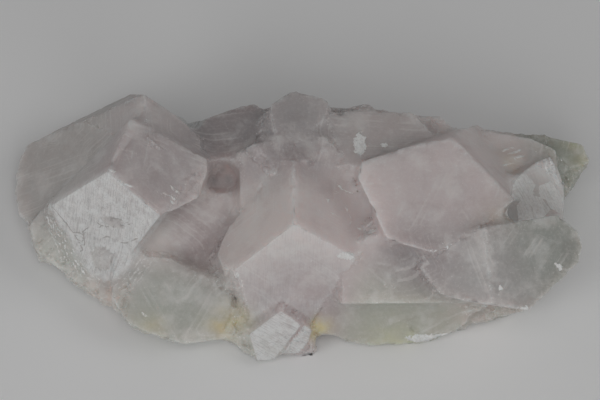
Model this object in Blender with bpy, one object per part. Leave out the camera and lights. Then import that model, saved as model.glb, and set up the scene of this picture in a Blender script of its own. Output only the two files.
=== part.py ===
"""A cabinet specimen of manganoan calcite: rhombohedral crystals grown into one another on a rough base.

The whole cluster is one solid. Each crystal is a block of calcite bounded by flat faces, and is described in
its own frame: c runs along the crystal's long axis and out of its tip. A face is given by the compass
direction that it looks toward around c, its tilt from c and its distance from the tip, in that order.
A tilt of 90 is a wall parallel to c, and more than 90 is a wall that is undercut.

Sizes are in millimetres and angles in degrees until the finished mesh is scaled to metres.
"""

import math
import random

import bmesh
import bpy
from mathutils import Matrix, Vector
from mathutils.bvhtree import BVHTree

METRES_PER_MM = 0.001

# The growth form of calcite: three faces evenly round the tip, each tilted this far from the long axis.
RHOMB_TILT = 44.6
RHOMB_AZIMUTHS = (-90, 30, 150)
DOWN, RIGHT, LEFT = RHOMB_AZIMUTHS

BLOCK_REACH = 75.0            # half the size of the block that each crystal is cut from
REST_PLANE = ((0, 0, 0.0),)   # the top of the block that cuts the base off flat
COLOUR = (0.80, 0.70, 0.70, 1.0)
ROUGHNESS = 0.42
SEED = 18


def rhomb(down=0.0, right=0.0, left=0.0):
    """The three tip faces. A face with a distance under 0 is set back, which makes a growth step."""
    return ((DOWN, RHOMB_TILT, down), (RIGHT, RHOMB_TILT, right), (LEFT, RHOMB_TILT, left))


def plate():
    """One flat top face, for a crystal that shows a single face."""
    return ((0, 0, 0.0),)


def walls(tilt, *directions_and_reaches):
    """Side faces that share a tilt, each given as (direction, reach)."""
    return tuple((direction, tilt, reach) for direction, reach in directions_and_reaches)


def frame_of(lean, toward, spin):
    """The crystal's frame: c leans from vertical toward a compass direction, and spin turns it about c."""
    swing = Matrix.Rotation(math.radians(toward), 3, "Z")
    tip_over = Matrix.Rotation(math.radians(lean), 3, "Y")
    turn = Matrix.Rotation(math.radians(spin), 3, "Z")
    return swing @ tip_over @ swing.inverted() @ turn


def direction(azimuth, tilt):
    """A unit vector in the crystal's frame."""
    around, down = math.radians(azimuth), math.radians(tilt)
    return Vector((math.sin(down) * math.cos(around), math.sin(down) * math.sin(around), math.cos(down)))


# ---------------------------------------------------------------- the crystals

# The raised crystal at the left: a bright diamond face in front, and two faces that slope back from its tip.
RAISED_LEFT = dict(tip=(-43.0, -4.2, 36.5), lean=32, toward=-135, spin=-18)
RAISED_LEFT_SIDES = (
    walls(90, (72, 12.5), (141, 8.8))
    + walls(105, (-78, 25.7))
    + walls(108, (-26, 15.2))
    + walls(112, (-29, 15.3))
)
RAISED_LEFT_EDGE = (-146, 90, 19.0)
LEDGE_COUNT, LEDGE_TREAD, LEDGE_DROP = 4, 1.3, 0.8
LEDGE_INSET = 0.25       # how far the other faces of each lower ledge lie inside those of the one above

# The large crystal that it stands on, and the crystal at the centre.
LEFT_HOST = dict(lean=22, toward=-99, spin=6)
CENTRE = dict(tip=(-1.3, -15.4, 32.6), lean=24, toward=-101, spin=2)

CRYSTALS = {
    "raised_left_shoulder": dict(
        tip=(-43.0, -4.1, 36.3), lean=32, toward=-135, spin=-18,
        faces=rhomb() + walls(90, (72, 12.5), (-159, -10.1))
        + walls(112, (10, 22.0), (-9, 20.6), (-58, 14.2), (-106, 5.1)),
    ),
    "left_ridge": dict(
        LEFT_HOST, tip=(-34.1, 4.4, 35.3),
        faces=rhomb() + walls(75, (109, 9.9)) + walls(92, (52, 10.0), (37, 10.1))
        + walls(104, (-7, 13.2)) + walls(90, (-129, 1.5)),
    ),
    "left_broad": dict(
        LEFT_HOST, tip=(-34.1, 4.6, 35.0),
        faces=rhomb() + walls(112, (-103, 23.7), (-157, 40.6), (174, 42.7), (132, 36.7))
        + walls(90, (-11, -3.3)) + walls(72, (111, 9.2)) + walls(92, (113, 24.1), (95, 19.4), (43, 8.9)),
    ),
    "centre": dict(
        CENTRE,
        faces=rhomb() + walls(95, (-110, 21.5), (-161, 20.3)) + walls(66, (-141, 11.7))
        + walls(100, (-154, 20.9), (131, 14.7)) + walls(90, (156, 15.6), (121, 16.2), (91, 15.6))
        + walls(92, (88, 15.8), (52, 16.0), (30, 16.6), (18, 17.4), (-43, 14.7)) + walls(97, (-27, 16.4)),
    ),
    "front_small": dict(
        tip=(-4.3, -26.3, 13.0), lean=14, toward=-101, spin=-1,
        faces=rhomb() + walls(68, (-140, 6.1)) + walls(100, (-90, 12.1), (-114, 13.5), (-133, 15.4))
        + walls(90, (-177, 16.2), (96, 5.0), (58, 1.8)) + walls(95, (-43, 5.2), (-66, 8.3), (-76, 8.6)),
    ),
    "front_small_step": dict(
        tip=(-4.3, -26.3, 13.0), lean=14, toward=-101, spin=-1,
        faces=rhomb(down=-1.1, right=-0.3, left=-0.4) + walls(100, (-90, 8.8), (-133, 12.4))
        + walls(90, (-174, 12.0), (94, 4.2), (57, 1.3)) + walls(95, (-43, 8.4), (-20, 7.8)),
    ),
    "front_left_block": dict(
        tip=(-27.1, -30.3, 5.9), lean=24, toward=-90, spin=0,
        faces=plate()
        + walls(100, (-82, 0.7), (-108, 0.3), (-116, 1.3), (-150, 8.3), (177, 15.8))
        + walls(80, (86, 18.6), (61, 15.4), (50, 14.7), (6, 11.7)),
    ),
    "front_left_side": dict(
        tip=(-42.4, -22.5, 6.0), lean=48, toward=-119, spin=-4,
        faces=plate() + walls(100, (-101, 1.9), (-165, 0.0), (179, 0.8)) + walls(90, (107, 4.6), (-5, 4.0)),
    ),
    "left_recess": dict(
        tip=(-25.0, -1.7, 16.5), lean=37, toward=-79, spin=2,
        faces=plate() + walls(90, (-161, 24.0), (99, 2.6), (0, 13.7)) + walls(100, (-103, 20.5)),
    ),
    "recess_floor": dict(
        tip=(-20.6, 5.2, 16.6), lean=26, toward=-90, spin=0,
        faces=plate() + walls(90, (180, 5.7), (124, 10.8), (90, 11.5), (0, 11.4), (-90, 11.5)),
    ),
    "back_left": dict(
        tip=(-13.7, 15.8, 25.0), lean=6, toward=180, spin=-4,
        faces=plate() + walls(93, (145, 7.4), (114, 4.9), (104, 5.1), (56, 6.5), (23, 7.3), (4, 8.9),
                              (-90, 9.4), (-126, 10.6), (-166, 10.0)),
    ),
    "back_tall": dict(
        tip=(0.0, 15.2, 30.0), lean=5, toward=-22, spin=3,
        faces=plate() + walls(93, (173, 6.8), (129, 6.3), (106, 6.5), (71, 6.1), (-49, 4.6), (-6, 6.2),
                              (-90, 9.2), (-169, 6.7)),
    ),
    "back_step": dict(
        tip=(0.0, 18.5, 25.0), lean=5, toward=-22, spin=3,
        faces=plate() + walls(93, (87, 2.6), (-1, 11.5), (-90, 9.3), (178, 5.7)),
    ),
    "centre_back_left": dict(
        tip=(-2.3, 7.5, 29.5), lean=8, toward=-90, spin=0,
        faces=plate() + walls(43, (-143, 4.4))
        + walls(95, (178, 11.6), (156, 10.2), (101, 2.0), (97, 1.5), (-100, 14.0)) + walls(90, (0, 2.3)),
    ),
    "centre_back_right": dict(
        tip=(-2.3, 7.3, 29.7), lean=8, toward=-90, spin=0,
        faces=plate() + walls(22, (-32, 2.6))
        + walls(95, (98, 1.3), (40, 7.6), (19, 11.4), (-80, 12.0)) + walls(90, (-160, -0.4)),
    ),
    "centre_back_middle": dict(
        tip=(-2.3, 7.6, 29.3), lean=8, toward=-90, spin=0,
        faces=plate() + walls(95, (96, 1.3)) + walls(90, (0, 4.5), (-90, 4.5), (-174, 2.5)),
    ),
    "back_middle": dict(
        tip=(3.0, 11.0, 27.9), lean=4, toward=-90, spin=0,
        faces=plate() + walls(93, (90, 5.5), (0, 7.5), (-90, 8.0), (180, 12.0)),
    ),
    "back_slab": dict(
        tip=(18.1, 12.5, 28.0), lean=3, toward=-32, spin=2,
        faces=plate() + walls(93, (-160, 10.4), (108, 7.1), (88, 5.1), (34, 9.1), (-19, 23.0),
                              (-90, 13.1), (-134, 11.4)),
    ),
    "back_slab_end": dict(
        tip=(29.0, 15.0, 24.9), lean=8, toward=-62, spin=4,
        faces=plate() + walls(93, (86, 3.2), (171, 10.0), (-16, 5.6), (40, 4.4), (-90, 12.0)),
    ),
    "right_broad": dict(
        tip=(34.1, 5.7, 35.5), lean=19, toward=-87, spin=0,
        faces=plate() + walls(60, (43, 0.0)) + walls(68, (103, 0.0)) + walls(80, (110, 1.4))
        + walls(95, (69, 10.7), (26, 12.3), (3, 13.2))
        + walls(100, (-27, 18.8), (-52, 19.7), (-60, 20.7), (-106, 26.4), (-155, 22.9), (165, 17.9))
        + walls(103, (101, 12.3)),
    ),
    "right_front": dict(
        tip=(42.9, -29.4, 22.2), lean=33, toward=-66, spin=0,
        faces=plate() + walls(30.4, (-169.5, 0.0))
        + walls(98, (110, 16.3), (121, 15.9), (137, 17.0), (-141, 8.5), (-110, 3.1), (-93, 0.9), (-44, 7.0),
                (-10, 17.3), (20, 23.4), (56, 24.4), (103, 16.7)),
    ),
    "right_broken": dict(
        tip=(53.4, 2.4, 29.0), lean=27, toward=-95, spin=-4,
        faces=rhomb() + walls(95, (-91, 15.4), (179, 10.6), (125, 0.8)) + walls(90, (135, 2.3), (126, 2.1))
        + walls(97, (39, 4.1), (17, 5.3), (6, 6.8)),
    ),
    "right_end": dict(
        tip=(59.7, 14.8, 16.0), lean=16, toward=-64, spin=3,
        faces=plate()
        + walls(95, (99, 7.6), (78, 2.6), (84, 3.2), (22, 5.5), (-42, 6.7), (-55, 7.0), (-127, 5.8))
        + walls(90, (-69, 5.4), (-118, 13.1), (177, 18.6)),
    ),
    "right_shelf": dict(
        tip=(48.9, 7.5, 21.0), lean=20, toward=-90, spin=0,
        faces=plate() + walls(92, (179, 6.8), (80, 6.8), (65, 7.2), (4, 9.6), (-90, 8.1)),
    ),
    "seam_nub": dict(
        tip=(40.8, -10.5, 25.5), lean=38, toward=-90, spin=0,
        faces=plate() + walls(92, (158, 2.3), (117, 2.4), (52, 4.4), (-11, 4.8), (-90, 4.1)),
    ),
    "front_right_base": dict(
        tip=(15.4, -28.5, 1.5), lean=59, toward=-88, spin=0,
        faces=plate() + walls(90, (-54, 8.5), (-69, 4.0), (-86, 0.5), (-110, 0.5), (161, 13.4), (139, 16.8))
        + walls(80, (127, 19.2), (75, 23.7)) + walls(95, (14, 23.4)),
    ),
    "front_right_toe": dict(
        tip=(40.9, -22.6, 3.5), lean=53, toward=-90, spin=0,
        faces=plate() + walls(92, (-76, 1.0)) + walls(90, (-179, 11.4), (90, 11.7), (0, 10.0)),
    ),
    "right_recess": dict(
        tip=(22.4, -18.6, 21.5), lean=38, toward=-85, spin=1,
        faces=plate() + walls(90, (146, 9.6), (97, 6.7), (4, 18.5), (-90, 9.4), (-180, 13.2)),
    ),
    "lower_left_mass": dict(
        tip=(-54.5, -8.4, 10.4), lean=42, toward=-122, spin=0,
        faces=plate() + walls(100, (170, 7.6), (-170, 6.2), (-150, 5.2), (-130, 4.6), (-110, 8.2), (-90, 11.7),
                              (-70, 14.3), (0, 12.0), (90, 12.0), (129, 9.4)),
    ),
    "left_flank_upper": dict(
        tip=(-55.4, -2.2, 8.8), lean=74, toward=-116, spin=1,
        faces=plate() + walls(100, (110, 3.8), (15, 1.1), (-89, 9.1), (-108, 9.7), (-150, 9.8), (-172, 8.7),
                              (157, 7.2)),
    ),
}

# Depth of the crystals that lean far over, so that they end inside the cluster.
SHALLOW = {
    "front_left_block": 24, "front_left_side": 24, "left_recess": 26, "lower_left_mass": 18,
    "back_middle": 20, "recess_floor": 20,
    "front_right_base": 26, "front_right_toe": 22, "right_recess": 30, "seam_nub": 24,
    "right_shelf": 26, "left_flank_upper": 16,
}
DEEP = 70

# Smaller crystals as (tip, lean, toward, half-width): knobs along the lower rim, then the hidden side,
# where crystals of the same form lean back.
RIM_CRYSTALS = (
    ((-61.4, -3.5, 11.6), 48, -150, 3.6), ((-60.0, -7.2, 9.6), 52, -143, 3.0),
    ((-57.4, -9.2, 9.2), 54, -131, 3.4), ((-56.0, -5.6, 12.6), 36, -128, 2.6),
    ((-53.2, -11.6, 9.6), 38, -118, 2.4), ((-52.2, -14.4, 7.8), 56, -128, 3.2),
    ((-48.6, -16.6, 7.8), 44, -122, 2.8), ((-45.8, -18.8, 7.2), 50, -116, 3.0),
    ((-37.5, -26.5, 7.0), 60, -121, 3.2), ((-30.0, -28.6, 6.5), 56, -104, 3.0),
    ((-16.0, -28.5, 8.0), 48, -118, 4.2), ((5.5, -25.5, 4.0), 62, -98, 3.8),
    ((12.0, -28.0, 2.5), 72, -90, 3.4), ((27.0, -28.0, 2.5), 68, -86, 3.6),
    ((36.0, -25.5, 4.0), 66, -80, 4.2), ((45.5, -22.5, 6.0), 60, -72, 4.6),
    ((64.0, 10.0, 14.0), 52, -22, 3.6), ((65.4, 15.5, 14.5), 40, 4, 3.0),
    ((17.0, -13.0, 24.4), 30, -60, 2.4), ((11.6, 18.6, 27.6), 20, 60, 1.9),
    ((14.8, 18.4, 28.0), 12, -40, 2.2), ((18.0, 18.2, 27.6), 24, 110, 1.8),
)
BACK_CRYSTALS = (
    ((-43.0, 22.5, 20.5), 31, 112, 9.5), ((-20.0, 21.5, 20.5), 36, 84, 8.5),
    ((-2.0, 24.0, 23.0), 27, 98, 8.5), ((18.0, 22.0, 19.5), 40, 76, 10.0),
    ((38.0, 19.0, 16.5), 33, 66, 9.5), ((55.0, 20.0, 11.0), 48, 48, 6.5),
    ((-31.0, 30.0, 9.0), 55, 104, 7.0), ((28.0, 29.5, 8.0), 58, 82, 7.5),
    ((-51.0, 26.5, 6.0), 62, 132, 6.0), ((6.0, 30.5, 9.5), 56, 95, 7.5),
    ((-12.0, 29.5, 7.0), 62, 88, 6.0), ((46.0, 26.0, 7.0), 60, 64, 6.5),
)
DRUSE_COUNT = 54
DRUSE_SIZES = (1.0, 2.1)         # half-widths of the smallest crystals, which stud the flanks
DRUSE_HEIGHTS = (2.5, 17.0)
DRUSE_RISE = 0.8                 # how far a tip stands out, in half-widths
DRUSE_STEEPNESS = 0.35           # they sit only where the surface faces up less than this
DRUSE_FRONT = -0.4               # and only where it faces forward less than this
SMALL_WALL_TILT = 94
SMALL_VARIATION = 0.28   # spread of a small crystal's six walls, as a part of its half-width

# Outer limits of the grown mass, as (compass direction, tilt, distance from the centre of the rest plane):
# broken faces at the back, and an underside that rises toward the rim.
LIMITS = (
    (180, 180, 0.0),
    (-90, 167, 5.6), (-115, 151, 15.2), (-135, 153, 15.0), (178, 161, 17.2), (150, 156, 22.0),
    (-35, 138, 35.0), (2, 149, 25.8), (35, 150, 22.0), (120, 154, 19.5), (90, 156, 9.6), (60, 154, 11.5),
    (100, 98, 31.5), (78, 101, 30.0), (126, 96, 57.0), (52, 99, 57.0),
)


def closed_form(name, origin, frame, faces, collection):
    """A large block trimmed by flat faces, placed by its mesh and not by its object."""
    form = bmesh.new()
    bmesh.ops.create_cube(form, size=2 * BLOCK_REACH, matrix=Matrix.Translation(origin))
    for azimuth, tilt, reach in faces:
        outward = frame @ direction(azimuth, tilt)
        cut = bmesh.ops.bisect_plane(
            form,
            geom=form.verts[:] + form.edges[:] + form.faces[:],
            plane_co=origin + outward * reach,
            plane_no=outward,
            clear_outer=True,
        )
        rim = [piece for piece in cut["geom_cut"] if isinstance(piece, bmesh.types.BMEdge)]
        if rim:
            bmesh.ops.edgeloop_fill(form, edges=rim)
    bmesh.ops.recalc_face_normals(form, faces=form.faces[:])
    mesh = bpy.data.meshes.new(name)
    form.to_mesh(mesh)
    form.free()
    body = bpy.data.objects.new(name, mesh)
    body.hide_render = True
    body.display_type = "WIRE"
    collection.objects.link(body)
    return body


def stepped(crystal, faces, edge, count, tread, drop):
    """Growth steps on one side of a crystal, each lower and further out than the last.

    The side is (direction, tilt, reach). The lowest tip face drops, and the others lie a little inside.
    """
    around, tilt, reach = edge
    for step in range(count):
        inset = step * LEDGE_INSET
        sides = tuple((where, slope, distance - inset) for where, slope, distance in faces)
        yield dict(
            crystal,
            faces=rhomb(down=-step * drop, right=-inset, left=-inset)
            + ((around, tilt, reach + step * tread),)
            + sides,
        )


def grow(name, collection, tip, lean, toward, spin, faces):
    """One crystal, from its tip, the lean of its c axis and its faces."""
    depth = SHALLOW.get(name, DEEP)
    return closed_form(
        name, Vector(tip), frame_of(lean, toward, spin), faces + ((0, 180, depth),), collection
    )


def small_crystal(name, collection, tip, lean, toward, half_width, chance):
    """A rhombohedral tip on six walls, no two alike."""
    around = chance.uniform(0, 60)
    sides = tuple(
        (around + 60 * side + chance.uniform(-9, 9), SMALL_WALL_TILT,
         half_width * (1 + chance.uniform(-SMALL_VARIATION, SMALL_VARIATION)))
        for side in range(6)
    )
    faces = rhomb(right=-chance.uniform(0, 0.2) * half_width) + sides + ((0, 180, 2.6 * half_width),)
    frame = frame_of(lean, toward, toward + 90 + chance.uniform(-12, 12))
    return closed_form(name, Vector(tip), frame, faces, collection)


def druse_seats(body, chance):
    """Points on the flanks, found by looking inward at the cluster from low down on every side."""
    tree = BVHTree.FromPolygons(
        [vertex.co for vertex in body.data.vertices],
        [tuple(polygon.vertices) for polygon in body.data.polygons],
    )
    while True:
        around = math.radians(chance.uniform(0, 360))
        aim = Vector((chance.uniform(-58, 58), chance.uniform(-24, 24), chance.uniform(*DRUSE_HEIGHTS)))
        outward = Vector((math.cos(around), math.sin(around), 0.0))
        seat, facing, _, _ = tree.ray_cast(aim + 2 * BLOCK_REACH * outward, -outward)
        if seat is None or seat.z < DRUSE_HEIGHTS[0]:
            continue
        if facing.z < DRUSE_STEEPNESS and facing.y > DRUSE_FRONT:
            yield seat, facing


def joined(name, operation, collection, first):
    """The mesh that a Boolean of one object with a collection gives, as a new object."""
    join = first.modifiers.new(operation.lower(), "BOOLEAN")
    join.operation = operation
    join.operand_type = "COLLECTION"
    join.collection = collection
    join.solver = "EXACT"
    bpy.context.view_layer.update()
    graph = bpy.context.evaluated_depsgraph_get()
    mesh = bpy.data.meshes.new_from_object(first.evaluated_get(graph))
    body = bpy.data.objects.new(name, mesh)
    bpy.context.scene.collection.objects.link(body)
    return body


def keep_outer_skin(mesh):
    """Fills the pockets that crystals have closed between them: only the largest connected skin stays."""
    form = bmesh.new()
    form.from_mesh(mesh)
    unseen = set(form.verts)
    skins = []
    while unseen:
        skin = {unseen.pop()}
        edge_of_search = list(skin)
        while edge_of_search:
            vertex = edge_of_search.pop()
            reached = {edge.other_vert(vertex) for edge in vertex.link_edges} & unseen
            unseen -= reached
            skin |= reached
            edge_of_search.extend(reached)
        skins.append(skin)
    largest = max(skins, key=len)
    bmesh.ops.delete(form, geom=[vertex for vertex in form.verts if vertex not in largest], context="VERTS")
    form.to_mesh(mesh)
    form.free()


def new_collection(name):
    collection = bpy.data.collections.new(name)
    bpy.context.scene.collection.children.link(collection)
    return collection


def calcite_material():
    """Milky pale pink calcite."""
    material = bpy.data.materials.new("calcite")
    material.use_nodes = True
    shader = material.node_tree.nodes["Principled BSDF"]
    shader.inputs["Base Color"].default_value = COLOUR
    shader.inputs["Roughness"].default_value = ROUGHNESS
    shader.inputs["Metallic"].default_value = 0.0
    return material


def grow_large_crystals(collection):
    """The crystals that are described one by one, with the growth steps of the raised one at the left."""
    for name, crystal in CRYSTALS.items():
        grow(name, collection, **crystal)
    steps = stepped(RAISED_LEFT, RAISED_LEFT_SIDES, RAISED_LEFT_EDGE, LEDGE_COUNT, LEDGE_TREAD, LEDGE_DROP)
    for step, crystal in enumerate(steps):
        grow(f"raised_left_{step}", collection, **crystal)


def grow_small_crystals(collection, host, chance):
    """The knobs of the rim and the back, and the druse on the flanks of the host."""
    for index, (tip, lean, toward, half_width) in enumerate(RIM_CRYSTALS + BACK_CRYSTALS):
        small_crystal(f"small_{index}", collection, tip, lean, toward, half_width, chance)
    for index, (seat, facing) in zip(range(DRUSE_COUNT), druse_seats(host, chance)):
        half_width = chance.uniform(*DRUSE_SIZES)
        toward = math.degrees(math.atan2(facing.y, facing.x)) + chance.uniform(-25, 25)
        tip = seat + DRUSE_RISE * half_width * facing
        small_crystal(f"druse_{index}", collection, tip, chance.uniform(35, 75), toward, half_width, chance)


def stand_at_origin(body):
    """Scales the mesh to metres, with the middle of its box's bottom at the origin."""
    points = [vertex.co for vertex in body.data.vertices]
    low = Vector([min(point[axis] for point in points) for axis in range(3)])
    high = Vector([max(point[axis] for point in points) for axis in range(3)])
    middle = Vector(((low.x + high.x) / 2, (low.y + high.y) / 2, low.z))
    print("box", low, high)
    body.data.transform(Matrix.Scale(METRES_PER_MM, 4) @ Matrix.Translation(-middle))


def main():
    for leftover in list(bpy.data.objects):
        bpy.data.objects.remove(leftover)
    centre, upright = Vector((0, 0, 0)), Matrix.Identity(3)
    crystals, limits, small, ground = map(new_collection, ("crystals", "limits", "small", "ground"))

    grow_large_crystals(crystals)
    first = crystals.objects[0]
    crystals.objects.unlink(first)
    bpy.context.scene.collection.objects.link(first)
    mass = joined("mass", "UNION", crystals, first)

    closed_form("limit", centre, upright, LIMITS, limits)
    trimmed = joined("trimmed", "INTERSECT", limits, mass)

    grow_small_crystals(small, trimmed, random.Random(SEED))
    grown = joined("grown", "UNION", small, trimmed)

    closed_form("ground", centre, upright, REST_PLANE, ground)
    cluster = joined("calcite_cluster", "DIFFERENCE", ground, grown)
    keep_outer_skin(cluster.data)
    cluster.data.materials.clear()
    cluster.data.materials.append(calcite_material())
    stand_at_origin(cluster)
    for helper in list(bpy.data.objects):
        if helper is not cluster:
            bpy.data.objects.remove(helper)


main()
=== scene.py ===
"""The finished look of a manganoan calcite specimen: milky pink crystals, grown into one another.

The scene is in metres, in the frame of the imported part: +Z is up, and -Y is the side that the bright
faces look to. The places below are in millimetres, from the point that MIDDLE is measured from.
"""

from __future__ import annotations

import logging
import math
from dataclasses import dataclass
from enum import Enum

import bpy
import numpy as np
from mathutils import Matrix, Vector
from mathutils.bvhtree import BVHTree
from mathutils.kdtree import KDTree

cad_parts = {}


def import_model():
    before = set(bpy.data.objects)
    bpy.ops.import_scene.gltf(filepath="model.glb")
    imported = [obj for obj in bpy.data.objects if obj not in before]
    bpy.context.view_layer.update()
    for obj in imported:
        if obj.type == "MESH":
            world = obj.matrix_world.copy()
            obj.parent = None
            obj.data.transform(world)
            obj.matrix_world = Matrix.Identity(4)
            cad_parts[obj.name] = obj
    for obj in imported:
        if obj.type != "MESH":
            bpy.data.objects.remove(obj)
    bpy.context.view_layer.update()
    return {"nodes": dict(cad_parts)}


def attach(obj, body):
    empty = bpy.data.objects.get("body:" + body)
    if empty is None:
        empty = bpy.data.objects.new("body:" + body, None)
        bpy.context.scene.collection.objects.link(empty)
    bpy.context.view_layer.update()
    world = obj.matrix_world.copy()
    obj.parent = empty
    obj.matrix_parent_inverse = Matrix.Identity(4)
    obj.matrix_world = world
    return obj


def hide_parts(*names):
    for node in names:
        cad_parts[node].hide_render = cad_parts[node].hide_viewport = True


Place = tuple[float, float, float]
Colour = tuple[float, float, float]

LOG = logging.getLogger("calcite")
MM = 0.001
NODE = "calcite_cluster"

FRAME_WIDTH = 600                  # pixels, which the focal length is counted in too
FOCAL_PIXELS = 3921.0
SENSOR_MM = 36.0

MIDDLE = np.array([0.21745, -1.1149, 0.0])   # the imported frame's middle, in the millimetres used below
RHOMB_TILT = 44.6                  # degrees between a rhomb face's normal and the crystal's c axis
RHOMB_AZIMUTHS = (-90.0, 30.0, 150.0)        # the lower, right and left faces
TIP_SQUASH = np.array((1.0, 1.0, 0.4))       # heights count for less in which crystal a place is on
NOISE_SIDE = 64
CELL_SIDE = 24
OFF_SHEET = 2.5                    # millimetres above or below a line, where another face lies
FAR = 30.0                         # millimetres, which stands for out of a mark's reach


def deselect_all() -> None:
    """Leaves nothing selected and nothing active."""
    bpy.ops.object.select_all(action="DESELECT")
    bpy.context.view_layer.objects.active = None


def activate(piece: bpy.types.Object) -> None:
    """Makes one object the selected and active one.

    Args:
        piece: The object that the next operators act on.
    """
    deselect_all()
    piece.select_set(True)
    bpy.context.view_layer.objects.active = piece


class SmoothNoise:
    """Smooth seeded noise over space, from -1 to 1."""

    def __init__(self, seed: int) -> None:
        """Draws the lattice of values."""
        self.table = np.random.default_rng(seed).uniform(-1.0, 1.0, (NOISE_SIDE,) * 3)

    def __call__(self, points: np.ndarray, size: float) -> np.ndarray:
        """The noise at some points.

        Args:
            points: Rows of places, in millimetres.
            size: The width of one bump, in millimetres.

        Returns:
            One value for each point.
        """
        scaled = points / size
        low = np.floor(scaled).astype(int)
        part = scaled - low
        part = part * part * (3.0 - 2.0 * part)
        total = np.zeros(len(points))
        for corner in np.ndindex(2, 2, 2):
            weight = np.prod(np.where(corner, part, 1.0 - part), axis=1)
            x, y, z = ((low + corner) % NOISE_SIDE).T
            total += weight * self.table[x, y, z]
        return total


class BrokenCells:
    """Flat little facets at random tilts, as on a broken or crowded surface."""

    def __init__(self, seed: int) -> None:
        """Draws the seats, heights and tilts of the facets.

        Args:
            seed: The same seed gives the same facets.
        """
        random = np.random.default_rng(seed)
        self.seats = random.uniform(0.15, 0.85, (CELL_SIDE, CELL_SIDE, CELL_SIDE, 3))
        self.heights = random.uniform(-1.0, 1.0, (CELL_SIDE,) * 3)
        self.tilts = random.normal(0.0, 0.5, (CELL_SIDE, CELL_SIDE, CELL_SIDE, 3))

    def __call__(self, points: np.ndarray, size: float) -> np.ndarray:
        """The height of the facets at some points.

        Args:
            points: Rows of places, in millimetres.
            size: The width of one facet, in millimetres.

        Returns:
            One value for each point, mostly from -1 to 1.
        """
        scaled = points / size
        low = np.floor(scaled).astype(int)
        nearest = np.full(len(points), np.inf)
        height = np.zeros(len(points))
        for step in np.ndindex(3, 3, 3):
            cell = low + np.array(step) - 1
            x, y, z = (cell % CELL_SIDE).T
            away = scaled - (cell + self.seats[x, y, z])
            distance = np.einsum("ij,ij->i", away, away)
            closer = distance < nearest
            nearest = np.where(closer, distance, nearest)
            facet = self.heights[x, y, z] + np.einsum("ij,ij->i", away, self.tilts[x, y, z])
            height = np.where(closer, facet, height)
        return height


def smoothstep(low: float, high: float, value: np.ndarray) -> np.ndarray:
    """A soft step: 0 below low, 1 above high, and a smooth rise between them."""
    part = np.clip((value - low) / (high - low), 0.0, 1.0)
    return part * part * (3.0 - 2.0 * part)


@dataclass(frozen=True)
class Crystal:
    """Where a crystal stands: its tip in millimetres, and the lean and turn of its c axis in degrees."""

    tip: Place
    lean: float
    toward: float
    spin: float

    def axes(self) -> np.ndarray:
        """The crystal's axes as the columns of a matrix.

        Returns:
            A matrix of 3 by 3.
        """
        swing = Matrix.Rotation(math.radians(self.toward), 3, "Z")
        tip_over = Matrix.Rotation(math.radians(self.lean), 3, "Y")
        turn = Matrix.Rotation(math.radians(self.spin), 3, "Z")
        return np.array(swing @ tip_over @ swing.inverted() @ turn)

    def rhomb_normals(self) -> np.ndarray:
        """The outward normals of the lower, right and left faces at the tip.

        Returns:
            Three rows.
        """
        rise, out = math.cos(math.radians(RHOMB_TILT)), math.sin(math.radians(RHOMB_TILT))
        azimuths = map(math.radians, RHOMB_AZIMUTHS)
        rows = [(out * math.cos(azimuth), out * math.sin(azimuth), rise) for azimuth in azimuths]
        return np.array(rows) @ self.axes().T

    def heights(self, points: np.ndarray) -> np.ndarray:
        """How far each point lies above the lower, right and left faces at the tip, as columns."""
        return (points - np.array(self.tip)) @ self.rhomb_normals().T


RAISED_LEFT = Crystal((-43.0, -4.2, 36.5), 32.0, -135.0, -18.0)
LEFT_HOST = Crystal((-34.1, 4.6, 35.0), 22.0, -99.0, 6.0)
CENTRE = Crystal((-1.3, -15.4, 32.6), 24.0, -101.0, 2.0)
FRONT_SMALL = Crystal((-4.3, -26.3, 13.0), 14.0, -101.0, -1.0)
RIGHT_BROKEN = Crystal((53.4, 2.4, 29.0), 27.0, -95.0, -4.0)
RIGHT_BROAD = Crystal((36.0, 5.0, 36.0), 20.0, -95.0, 0.0)
RIGHT_FRONT = Crystal((42.9, -29.4, 22.2), 33.0, -66.0, 0.0)
FRONT_LEFT = Crystal((-27.1, -30.3, 5.9), 24.0, -90.0, 0.0)
GROWN = (RAISED_LEFT, LEFT_HOST, CENTRE, FRONT_SMALL, RIGHT_BROKEN, RIGHT_BROAD, RIGHT_FRONT, FRONT_LEFT)


def own_crystal(points: np.ndarray) -> np.ndarray:
    """The index in GROWN of the crystal that each point is on, which is the one with the nearest tip."""
    offsets = [(points - np.array(crystal.tip)) * TIP_SQUASH for crystal in GROWN]
    return np.argmin(np.linalg.norm(offsets, axis=2), axis=0)


@dataclass(frozen=True)
class FrostedFace:
    """A bright lower rhomb face, finely striated, whitened partly by frost and partly by a painted
    sheen.

    at is a point on the face, crystal is the one that it belongs to, and striation_turn turns the
    striations away from the face's fall line, in degrees.
    """

    at: Place
    crystal: Crystal
    frost_and_sheen: float = 1.0
    striation_turn: float = 0.0

    def grain(self, points: np.ndarray) -> np.ndarray:
        """Distances across and along the striations, in millimetres.

        Args:
            points: Rows of places, in millimetres.

        Returns:
            Rows of across and along.
        """
        normal = Vector(self.crystal.rhomb_normals()[0])
        fall = Vector((0.0, 0.0, -1.0))
        along = (fall - fall.dot(normal) * normal).normalized()
        along = Matrix.Rotation(math.radians(self.striation_turn), 3, normal) @ along
        across = normal.cross(along)
        return (points - np.array(self.at)) @ np.array([across, along]).T


FROSTED = (
    FrostedFace((-45.3, -8.5, 19.2), RAISED_LEFT),
    FrostedFace((-2.3, -22.7, 14.4), CENTRE, frost_and_sheen=0.32),
    FrostedFace((-6.6, -30.4, 6.2), FRONT_SMALL, striation_turn=60.0),
    FrostedFace((0.0, -29.7, 5.6), FRONT_SMALL, striation_turn=60.0),
    FrostedFace((49.7, -1.5, 16.4), RIGHT_BROKEN, frost_and_sheen=0.28, striation_turn=25.0),
)


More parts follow.
